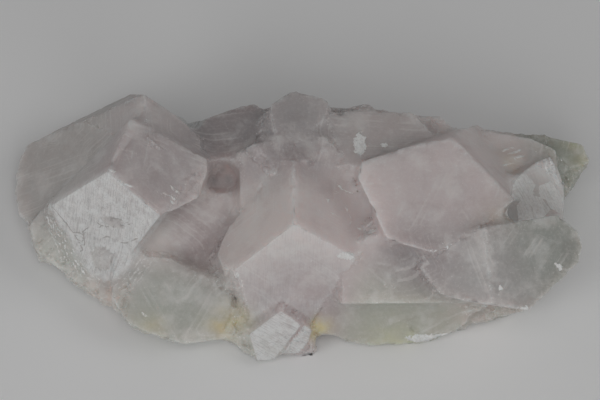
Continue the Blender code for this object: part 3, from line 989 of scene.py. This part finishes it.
@dataclass(frozen=True)
class Reading:
    """What a node gives, which can go into plain sums."""

    bench: NodeBench
    socket: bpy.types.NodeSocket

    def __add__(self, other: Value) -> Reading:
        """The two together."""
        return self.bench.math(Sum.ADD, self, other)

    def __sub__(self, other: Value) -> Reading:
        """This less the other."""
        return self.bench.math(Sum.SUBTRACT, self, other)

    def __rsub__(self, other: Value) -> Reading:
        """The other less this."""
        return self.bench.math(Sum.SUBTRACT, other, self)

    def __mul__(self, other: Value) -> Reading:
        """This times the other."""
        return self.bench.math(Sum.MULTIPLY, self, other)

    def __truediv__(self, other: Value) -> Reading:
        """This over the other."""
        return self.bench.math(Sum.DIVIDE, self, other)

    def __or__(self, other: Value) -> Reading:
        """The larger of the two."""
        return self.bench.math(Sum.MAXIMUM, self, other)

    def ramp(self, low: float, high: float) -> Reading:
        """A soft step: 0 below low and 1 above high."""
        inputs = {"Value": self, "From Min": low, "From Max": high}
        return self.bench.node("MapRange", 0, inputs, interpolation_type="SMOOTHSTEP")

    def scaled(self, scale: Place) -> Reading:
        """A vector with its length along each axis changed."""
        return self.bench.node("Mapping", 0, {"Scale": scale, "Vector": self})

    def noise(self, scale: float = 1.0, detail: float = 2.0, roughness: float = 0.5,
              distortion: float = 0.0) -> Reading:
        """Smooth noise from 0 to 1, at this place."""
        return self.bench.node("TexNoise", "Fac", {"Vector": self, "Scale": scale, "Detail": detail,
                                                   "Roughness": roughness, "Distortion": distortion})

    def noise_along(self, scale: float, detail: float) -> Reading:
        """Smooth noise from 0 to 1 that changes with this one number."""
        inputs = {"W": self, "Scale": scale, "Detail": detail}
        return self.bench.node("TexNoise", "Fac", inputs, noise_dimensions="1D")

    def crumbs(self, scale: float) -> Reading:
        """Crumbs of uneven shape: how far this place is from the border of its own."""
        inputs = {"Vector": self, "Scale": scale}
        return self.bench.node("TexVoronoi", "Distance", inputs, feature="DISTANCE_TO_EDGE")


class NodeBench:
    """Adds and joins the nodes of one material."""

    def __init__(self, name: str) -> None:
        """Starts a node material.

        Args:
            name: The material's name.
        """
        self.material = bpy.data.materials.new(name)
        self.material.use_nodes = True
        self.tree = self.material.node_tree
        self.shader = self.tree.nodes["Principled BSDF"]

    def join(self, value: Value, socket: bpy.types.NodeSocket) -> None:
        """Sets a socket to a number, vector or colour, or links another node's output to it.

        Args:
            value: The number, vector or colour, or the reading of the other node.
            socket: The socket that it goes into.
        """
        if isinstance(value, Reading):
            self.tree.links.new(value.socket, socket)
        elif isinstance(value, tuple) and socket.type == "RGBA":
            socket.default_value = (*value, 1.0)
        else:
            socket.default_value = value

    def node(self, kind: str, output: str | int, inputs: dict[str | int, Value],
             **settings: str | bool) -> Reading:
        """Adds one node.

        Args:
            kind: The node's type, without its ShaderNode.
            output: The output that is wanted.
            inputs: What goes into the sockets that don't keep their own value.
            settings: The node's own settings.

        Returns:
            The output's reading.
        """
        node = self.tree.nodes.new(f"ShaderNode{kind}")
        for name, setting in settings.items():
            setattr(node, name, setting)
        for name, value in inputs.items():
            self.join(value, node.inputs[name])
        return Reading(self, node.outputs[output])

    def math(self, operation: Sum, first: Value, second: Value = 0.0, clamp: bool = False) -> Reading:
        """The result of one sum, kept from 0 to 1 if clamp is true."""
        return self.node("Math", 0, {0: first, 1: second}, operation=operation.value, use_clamp=clamp)

    def mix(self, amount: Value, first: Value, second: Value, blend: Blend = Blend.OVER) -> Reading:
        """A blend of two colours."""
        inputs = {0: amount, 6: first, 7: second}
        return self.node("Mix", 2, inputs, data_type="RGBA", blend_type=blend.value)

    def attribute(self, name: str, output: str = "Fac") -> Reading:
        """A value that the mesh holds at each vertex."""
        return self.node("Attribute", output, {}, attribute_name=name)


Value = Reading | float | Place


@dataclass
class MilkyCalcite(NodeBench):
    """The finish of the whole specimen: milky, faintly pink calcite that light soaks into.

    A height or depth is in millimetres of relief, and a share is how much of a colour goes over the
    body.
    """

    # frosted: the white of frost and its painted sheen, and of the painted highlight on ridges
    frosted: Colour = (0.84, 0.84, 0.835)
    groove: Colour = (0.60, 0.59, 0.59)
    # the near-white of the painted glints, gleaming reflections and sparkles
    painted_highlight: Colour = (0.97, 0.97, 0.96)
    crevice: Colour = (0.45, 0.42, 0.41)
    veil: Colour = (0.83, 0.81, 0.79)
    depth: Colour = (0.80, 0.76, 0.76)
    depth_share: float = 0.35
    veil_share: float = 0.42
    growth_share: float = 0.28
    fine_share: float = 0.16
    rim_highlight_share: float = 0.3
    crack_share: float = 0.75
    striation_height: float = 0.16
    grain_height: float = 0.24
    least_grain: float = 0.03
    crumb_height: float = 0.10
    crack_depth: float = 0.12
    glint_height: float = 0.10
    growth_height: float = 0.02
    tooth_height: float = 0.16
    tooth_width: float = 0.85
    dulled_by_frost: float = 0.55      # how much of the glow under the surface frost takes away
    dulled_by_glints: float = 0.85     # and how much the brightest marks do
    scatter_radius: Place = (1.0, 0.82, 0.78)
    scatter_scale: float = 6.0 * MM
    striation_scale: Place = (3.6, 0.22, 1.0)
    ior: float = 1.6

    def __post_init__(self) -> None:
        """Starts the material, with the masks that its colour, relief and gloss share."""
        super().__init__("milky_calcite")
        self.spot = self.node("TexCoord", "Object", {}).scaled((1000.0,) * 3)
        self.warp = self.spot.noise(scale=1.1, detail=3.0, roughness=0.65) - 0.5
        stripes = self.attribute("grain", "Vector").scaled(self.striation_scale)
        self.stripes = stripes.noise(detail=3.0, roughness=0.6, distortion=0.25)
        self.frosting = self.attribute("frost_and_sheen")
        gleam = self.gleam()
        polish = (self.attribute("polish") + self.warp * 0.6).ramp(0.0, 0.3)
        self.frost_and_sheen = self.frosting * (1.0 - polish * 0.95) | gleam
        teeth = self.attribute("ledge") / self.tooth_width + self.warp * 1.5
        self.tooth = self.math(Sum.FRACTION, teeth)
        self.ladder = self.attribute("ladder")
        self.glint = self.lines() | self.tread_highlights()
        # Painted sparkles: tiny glints on rough places and along ridges.
        painted_sparkle = self.spot.noise(scale=2.6, detail=1.0).ramp(0.69, 0.75)
        rough = self.attribute("rough") * 0.5 + 0.2
        where = self.math(Sum.ADD, rough, self.attribute("rim") * 0.8, clamp=True)
        # bright gathers every painted highlight and reflection.
        self.bright = self.glint | gleam | painted_sparkle * where
        self.crack = self.cracks()
        self.growth = self.growth_lines()

    def gleam(self) -> Reading:
        """The painted reflections of broken patches and cleaved plates, with a sparkle in them.

        Returns:
            A mask from 0 to 1.
        """
        patch = (self.attribute("gleam") + self.warp * 1.3).ramp(0.10, 0.2)
        sparkle = self.spot.noise(scale=1.7, detail=4.0, roughness=0.7).ramp(0.38, 0.56)
        return patch * (sparkle * 0.45 + 0.55)

    def cracks(self) -> Reading:
        """The long cracks, and fainter webs of short ones on the frosted faces.

        Returns:
            A mask from 0 to 1.
        """
        off = self.math(Sum.ABSOLUTE, self.attribute("crack") + self.warp * 0.6)
        long = (1.0 - off.ramp(0.05, 0.2)) * (1.0 - self.attribute("crack_reach").ramp(0.45, 0.7))
        web = (1.0 - self.spot.crumbs(scale=1.5).ramp(0.0, 0.08)) * self.frosting
        return long | web * self.warp.ramp(-0.05, 0.12) * 0.5

    def lines(self) -> Reading:
        """The fine glint lines, painted highlights broken here and there."""
        kept = self.spot.noise(scale=2.4, detail=2.0).ramp(0.36, 0.46)
        return (1.0 - (self.attribute("glint") + self.warp * 0.35).ramp(0.16, 0.40)) * kept

    def tread_highlights(self) -> Reading:
        """A painted highlight on the tread of each ledge beside the raised crystal's diamond.

        Returns:
            A mask from 0 to 1.
        """
        tread = self.tooth.ramp(0.0, 0.12) * (1.0 - self.tooth.ramp(0.42, 0.58))
        kept = self.spot.noise(scale=1.0, detail=4.0, roughness=0.65).ramp(0.47, 0.54)
        return tread * self.ladder * kept

    def growth_lines(self) -> Reading:
        """The growth lines that run along a face beside its edge, where they show."""
        line = (self.attribute("edgewise") + self.warp * 0.5).noise_along(scale=1.3, detail=3.0)
        return line.ramp(0.5, 0.66) * self.spot.noise(scale=0.13, detail=2.0).ramp(0.42, 0.6)

    def colour(self) -> Reading:
        """The body tint: cloudy veils, frost with a painted sheen, cracks, and painted highlights and
        glints.

        Returns:
            A colour.
        """
        shade = self.spot.noise(scale=0.21, detail=4.0).ramp(0.5, 0.72)
        cloud = self.spot.noise(scale=0.16, detail=5.0, roughness=0.62).ramp(0.46, 0.70)
        fine = self.spot.noise(scale=1.3, detail=4.0, roughness=0.7)
        mottled = self.spot.noise(scale=0.45, detail=5.0, roughness=0.72).ramp(0.36, 0.62)
        body = self.attribute("tint", "Color")
        body = self.mix(shade * self.depth_share, body, self.depth, Blend.DARKEN)
        body = self.mix(cloud * self.veil_share, body, self.veil)
        body = self.mix(self.growth * self.growth_share, body, self.veil)
        body = self.mix(fine.ramp(0.40, 0.70) * self.fine_share, body, self.veil)
        # A painted highlight along the ridges.
        rim = self.attribute("rim") * fine.ramp(0.42, 0.62)
        body = self.mix(rim * self.rim_highlight_share, body, self.frosted)
        # The frosted faces, whitened partly by frost and partly by a painted sheen.
        striated = self.math(Sum.ADD, self.stripes.ramp(0.34, 0.60), mottled * 0.5, clamp=True)
        striated = self.mix(striated, self.groove, self.frosted)
        body = self.mix(self.frost_and_sheen * (mottled * 0.35 + 0.6), body, striated)
        # Painted highlights and reflections: glint lines, ledge treads, gleaming patches and sparkles.
        streaked = self.mix(self.stripes.ramp(0.32, 0.52), self.veil, self.painted_highlight)
        body = self.mix(self.bright, body, streaked)
        return self.mix(self.crack * self.crack_share, body, self.crevice)

    def relief(self) -> Reading:
        """The fine relief: striations, cracks and ledges, and grain where it is rough.

        Returns:
            Its height in millimetres.
        """
        grain = self.spot.noise(scale=2.2, detail=3.0, roughness=0.6)
        height = self.stripes * self.frost_and_sheen * self.striation_height
        height += grain * (self.attribute("rough") * self.grain_height + self.least_grain)
        height += self.spot.noise(scale=3.2, detail=3.0) * (self.frost_and_sheen * self.crumb_height)
        height -= self.crack * self.crack_depth
        height += self.glint * self.glint_height
        height += self.growth * self.growth_height
        return height + self.tooth * self.ladder * self.tooth_height

    def dress(self) -> bpy.types.Material:
        """Joins the colour, gloss, relief and glow to the shader.

        Returns:
            The material.
        """
        inputs = self.shader.inputs
        gloss = self.spot.noise(scale=0.5, detail=3.0) * 0.25 + 0.26 - self.glint * 0.12
        glow = (1.0 - self.frosting * self.dulled_by_frost) * (1.0 - self.bright * self.dulled_by_glints)
        self.join(self.colour(), inputs["Base Color"])
        self.join(gloss, inputs["Roughness"])
        self.join(self.node("Bump", 0, {"Distance": MM, "Height": self.relief()}), inputs["Normal"])
        self.join(glow, inputs["Subsurface Weight"])
        inputs["IOR"].default_value = self.ior
        inputs["Subsurface Radius"].default_value = self.scatter_radius
        inputs["Subsurface Scale"].default_value = self.scatter_scale
        return self.material


@dataclass(frozen=True)
class Softbox:
    """A square area light: its direction in degrees, its power in watts and its size in metres."""

    name: str
    azimuth: float
    elevation: float
    power: float
    size: float = 0.45
    distance: float = 0.8


SOFTBOXES = (
    Softbox("key_left", azimuth=-140, elevation=25, power=1.28),
    Softbox("key_right", azimuth=-5, elevation=35, power=0.82),
    Softbox("high_front", azimuth=-92, elevation=62, power=0.76),
    Softbox("low_front", azimuth=-76, elevation=34, power=0.55, size=0.35),
)


@dataclass
class Studio:
    """A pale floor, soft lights and the camera."""

    aim: Place = (-0.217 * MM, 1.115 * MM, 18.0 * MM)
    camera_elevation: float = 58.0
    camera_distance: float = 891.0 * MM
    camera_nearest: float = 0.01
    floor_size: float = 3.0
    floor_colour: Colour = (0.92, 0.92, 0.92)
    floor_roughness: float = 0.8
    world_strength: float = 0.14

    def stand(self, data: bpy.types.ID, azimuth: float, elevation: float,
              distance: float) -> bpy.types.Object:
        """Stands a light or a camera round the aim, looking at it.

        Args:
            data: The light or the camera.
            azimuth: The way that it stands in, in degrees.
            elevation: Its height above the horizon, in degrees.
            distance: How far it is from the aim.

        Returns:
            Its object.
        """
        around, up = math.radians(azimuth), math.radians(elevation)
        offset = Vector((math.cos(up) * math.cos(around), math.cos(up) * math.sin(around), math.sin(up)))
        stood = bpy.data.objects.new(data.name, data)
        stood.location = Vector(self.aim) + offset * distance
        stood.rotation_euler = offset.to_track_quat("Z", "Y").to_euler()
        bpy.context.scene.collection.objects.link(stood)
        return stood

    def floor(self) -> bpy.types.Object:
        """A pale floor that the specimen stands on.

        Returns:
            The floor.
        """
        deselect_all()
        bpy.ops.mesh.primitive_plane_add(size=self.floor_size, location=(0, 0, 0))
        floor = bpy.context.active_object
        floor.name = "floor"
        material = bpy.data.materials.new("pale_floor")
        material.use_nodes = True
        shader = material.node_tree.nodes["Principled BSDF"]
        shader.inputs["Base Color"].default_value = (*self.floor_colour, 1.0)
        shader.inputs["Roughness"].default_value = self.floor_roughness
        floor.data.materials.append(material)
        return floor

    def lights(self) -> None:
        """The softboxes, and a dim white surround."""
        for softbox in SOFTBOXES:
            light = bpy.data.lights.new(softbox.name, "AREA")
            light.shape = "SQUARE"
            light.size = softbox.size
            light.energy = softbox.power
            self.stand(light, softbox.azimuth, softbox.elevation, softbox.distance)
        world = bpy.data.worlds.new("surround")
        bpy.context.scene.world = world
        world.use_nodes = True
        background = world.node_tree.nodes["Background"]
        background.inputs["Color"].default_value = (1.0, 1.0, 1.0, 1.0)
        background.inputs["Strength"].default_value = self.world_strength

    def camera(self) -> None:
        """The camera, in front of the display side and high up."""
        data = bpy.data.cameras.new("camera")
        data.sensor_width = SENSOR_MM
        data.lens = FOCAL_PIXELS * SENSOR_MM / FRAME_WIDTH
        data.clip_start = self.camera_nearest
        bpy.context.scene.camera = self.stand(data, -90.0, self.camera_elevation, self.camera_distance)

    def build(self) -> None:
        """Makes the floor, the lights and the camera."""
        self.floor()
        self.lights()
        self.camera()


def main() -> None:
    """Builds and dresses the specimen."""
    logging.basicConfig(level=logging.INFO)
    bpy.context.scene.view_settings.view_transform = "Standard"
    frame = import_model()
    node = frame["nodes"][NODE]
    skin = CalciteSkin().build(node)
    skin.data.materials.clear()
    skin.data.materials.append(MilkyCalcite().dress())
    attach(skin, "root")
    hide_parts(NODE)
    Studio().build()


if __name__ == "__main__":
    main()
